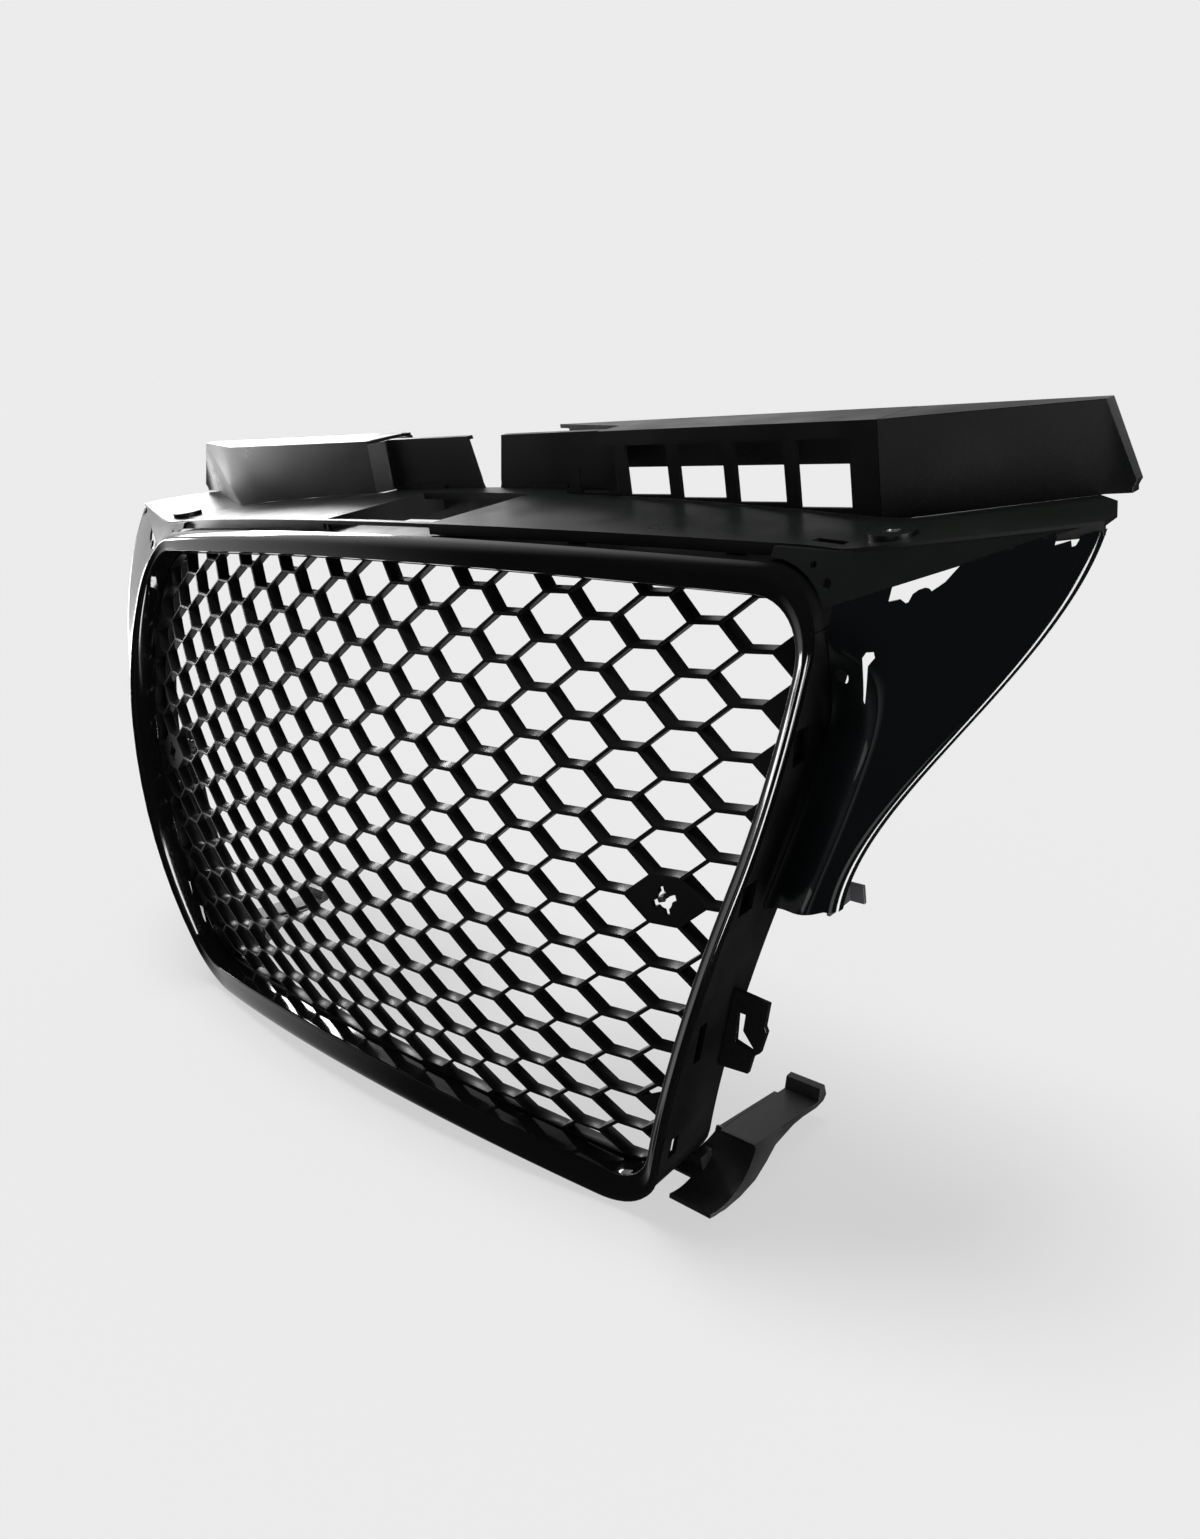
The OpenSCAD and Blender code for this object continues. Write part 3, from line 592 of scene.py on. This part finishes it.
def head_profile(r, height, socket):
    """Rows for lathe: shaft, rounded head and lobed socket of a screw."""
    return [(r * 0.45, -6.2, 0), (r * 0.5, -5.8, 0), (r * 0.5, 0.0, 0), (r, 0.0, 0), (r, height * 0.25, 0),
            (r * 0.94, height * 0.6, 0), (r * 0.8, height * 0.85, 0), (r * 0.62, height, 0),
            (socket, height, 0.16), (socket * 0.94, height - 1.3, 0.16), (socket * 0.2, height - 1.5, 0)]


def make_screws():
    places = []
    for x in (-240, -120, 0, 120, 240):
        places.append((x, OPEN_TOP + SCREW_OUT - x * x / (2 * CROWN_R)))
    for x in (-180, -60, 60, 180):
        places.append((x, -OPEN_BOTTOM - SCREW_OUT - x * x / (2 * SILL_R)))
    bm = bmesh.new()
    for x, z in places:
        lathe(bm, head_profile(4, 2.6, 1.6), face_frame(x, z, LIP_BACK))
    new_piece("screws_insert", bm, STEEL, "insert_screws")
    bm = bmesh.new()
    for side in (-1, 1):
        for z in (-120, -36, 46):
            lathe(bm, head_profile(3, 2.0, 1.2), face_frame(side * edge_x(z, 2.2), z, LIP_BACK))
    new_piece("screws_rail", bm, STEEL, "rail_screws")


# ---- assembly ----

make_bezel()
make_honeycomb()
make_wing(1, "right_wing")
make_wing(-1, "left_wing")
make_screws()

rounded_copy("upper_carrier", 0.5, CARRIER)
for n in ("intake_box", "right_horn", "left_pod"):
    rounded_copy(n, 0.8, CARRIER, segments=3)
for n in ("top_rail", "bottom_rail", "right_side_rail", "left_side_rail"):
    rounded_copy(n, 0.3, RAIL)
for n in ("right_lower_arm", "left_lower_arm"):
    rounded_copy(n, 0.4, ARM)
for n in ("right_side_clip", "left_side_clip"):
    rounded_copy(n, 0.4, CLIP)
for n in ("right_wing_clip", "left_wing_clip", "plate_anchors"):
    rounded_copy(n, 0.2, CLIP_GREY)
for n in ("arm_screws", "fixing_sleeves"):
    rounded_copy(n, 0.2, STEEL)

# ---- floor, light, camera ----

FLOOR_SIZE, FLOOR_GAP = 30, 0.0005   # metres
BACK = 0.836                         # linear value of the pale background
PAPER = 0.8                          # share of light the floor sends back
GLOW = 0.7                           # share of the floor that shines by itself
SKY = 0.22                           # the part of the floor's light that comes from all round
GLOSS_FROM = Vector((-0.95, 0.25, 0.05)).normalized()
GLOSS_NEAR, GLOSS_FAR = 0.02, 1.3    # reflected surroundings, away from the left and toward it

floor_grid = bmesh.new()
bmesh.ops.create_grid(floor_grid, x_segments=8, y_segments=8, size=FLOOR_SIZE)
floor_mesh = bpy.data.meshes.new("floor")
floor_grid.to_mesh(floor_mesh)
floor_grid.free()
floor = bpy.data.objects.new("floor", floor_mesh)
floor.location.z = CAD_BOX[0].z - FLOOR_GAP
scene.collection.objects.link(floor)
floor.visible_glossy = False
floor.visible_shadow = False
paper = bpy.data.materials.new("paper")
paper.use_nodes = True
tree = paper.node_tree
tree.nodes.clear()
paper_out = tree.nodes.new("ShaderNodeOutputMaterial")
paper_mix = tree.nodes.new("ShaderNodeMixShader")
paper_diffuse = tree.nodes.new("ShaderNodeBsdfDiffuse")
paper_glow = tree.nodes.new("ShaderNodeEmission")
paper_diffuse.inputs["Color"].default_value = (PAPER, PAPER, PAPER, 1)
paper_mix.inputs["Fac"].default_value = GLOW
paper_glow.inputs["Color"].default_value = (BACK, BACK, BACK, 1)
tree.links.new(paper_diffuse.outputs[0], paper_mix.inputs[1])
tree.links.new(paper_glow.outputs[0], paper_mix.inputs[2])
tree.links.new(paper_mix.outputs[0], paper_out.inputs["Surface"])
floor_mesh.materials.append(paper)

# The world: one value for the camera, one as fill, and a soft glow on the left for reflections
world = bpy.data.worlds.new("studio")
scene.world = world
world.use_nodes = True
tree = world.node_tree
tree.nodes.clear()
world_out = tree.nodes.new("ShaderNodeOutputWorld")
rays = tree.nodes.new("ShaderNodeLightPath")
seen = tree.nodes.new("ShaderNodeBackground")
seen.inputs["Color"].default_value = (BACK, BACK, BACK, 1)
fill = tree.nodes.new("ShaderNodeBackground")
fill.inputs["Color"].default_value = (SKY, SKY, SKY, 1)
gloss = tree.nodes.new("ShaderNodeBackground")
where = tree.nodes.new("ShaderNodeTexCoord")
toward = tree.nodes.new("ShaderNodeVectorMath")
toward.operation = "DOT_PRODUCT"
toward.inputs[1].default_value = GLOSS_FROM
tree.links.new(where.outputs["Generated"], toward.inputs[0])
spread = tree.nodes.new("ShaderNodeMapRange")
spread.interpolation_type = "SMOOTHSTEP"
spread.inputs["From Min"].default_value = 0.45
spread.inputs["From Max"].default_value = 1.0
spread.inputs["To Min"].default_value = GLOSS_NEAR
spread.inputs["To Max"].default_value = GLOSS_FAR
tree.links.new(toward.outputs["Value"], spread.inputs["Value"])
tree.links.new(spread.outputs["Result"], gloss.inputs["Strength"])
lighting = tree.nodes.new("ShaderNodeMixShader")
chosen = tree.nodes.new("ShaderNodeMixShader")
tree.links.new(rays.outputs["Is Glossy Ray"], lighting.inputs["Fac"])
tree.links.new(fill.outputs[0], lighting.inputs[1])
tree.links.new(gloss.outputs[0], lighting.inputs[2])
tree.links.new(rays.outputs["Is Camera Ray"], chosen.inputs["Fac"])
tree.links.new(lighting.outputs[0], chosen.inputs[1])
tree.links.new(seen.outputs[0], chosen.inputs[2])
tree.links.new(chosen.outputs[0], world_out.inputs["Surface"])


def add_light(name, data, direction):
    """A light that shines against direction."""
    o = bpy.data.objects.new(name, data)
    o.rotation_mode = "QUATERNION"
    o.rotation_quaternion = Vector(direction).to_track_quat("Z", "Y")
    scene.collection.objects.link(o)
    return o


def softbox(name, where, target, size, power):
    """A panel that is seen in reflections only."""
    data = bpy.data.lights.new(name, "AREA")
    data.shape, data.size, data.size_y, data.energy = "RECTANGLE", size[0], size[1], power
    o = add_light(name, data, Vector(where) - Vector(target))
    o.location = where
    o.visible_camera = False
    o.visible_diffuse = False


KEY_DIRECTION = Vector((-0.1, 0.12, 1.0)).normalized()
key_data = bpy.data.lights.new("key", "SUN")
key_data.energy = pi * (BACK / PAPER - SKY) / KEY_DIRECTION.z
key_data.angle = radians(26)
key = add_light("key", key_data, KEY_DIRECTION)
key.visible_glossy = False
BESIDE_WING = (0.33, -0.05, -0.15)
softbox("right_strip", (2.3, -0.15, -0.6), BESIDE_WING, (0.8, 2.6), 150)
softbox("left_top", (-2.15, 0.8, 0.82), (0.0, -0.05, 0.0), (1.3, 0.45), 36)
softbox("rear_fill", (0.4, 3.0, 0.9), (0.0, 0.0, -0.15), (2.5, 1.5), 12)
softbox("front_low", (1.3, -2.5, -0.55), (0.4, -0.05, -0.15), (1.2, 1.5), 8)
softbox("left_strip", (-2.3, -0.22, -0.25), (0.0, -0.1, -0.1), (0.22, 1.5), 14)

CAMERA_AT = (0.64845, -0.50924, 0.12370)
YAW, PITCH, ROLL = 0.80472, 0.37322, -0.14769
LENS, SENSOR = 28.02, 36             # millimetres
ahead = Vector((-sin(YAW) * cos(PITCH), cos(YAW) * cos(PITCH), -sin(PITCH)))
right = Vector((cos(YAW), sin(YAW), 0))
up_axis = right.cross(ahead)
cam_right = cos(ROLL) * right + sin(ROLL) * up_axis
cam_up = -sin(ROLL) * right + cos(ROLL) * up_axis
camera_data = bpy.data.cameras.new("camera")
camera = bpy.data.objects.new("camera", camera_data)
scene.collection.objects.link(camera)
turned = Matrix((cam_right, cam_up, -ahead)).transposed().to_4x4()
camera.matrix_world = Matrix.Translation(CAMERA_AT) @ turned
camera_data.sensor_width = SENSOR
camera_data.sensor_fit = "AUTO"
camera_data.lens = LENS
camera_data.clip_start = 0.01
camera_data.clip_end = 200
scene.camera = camera
scene.view_settings.view_transform = "Standard"
scene.view_settings.look = "None"
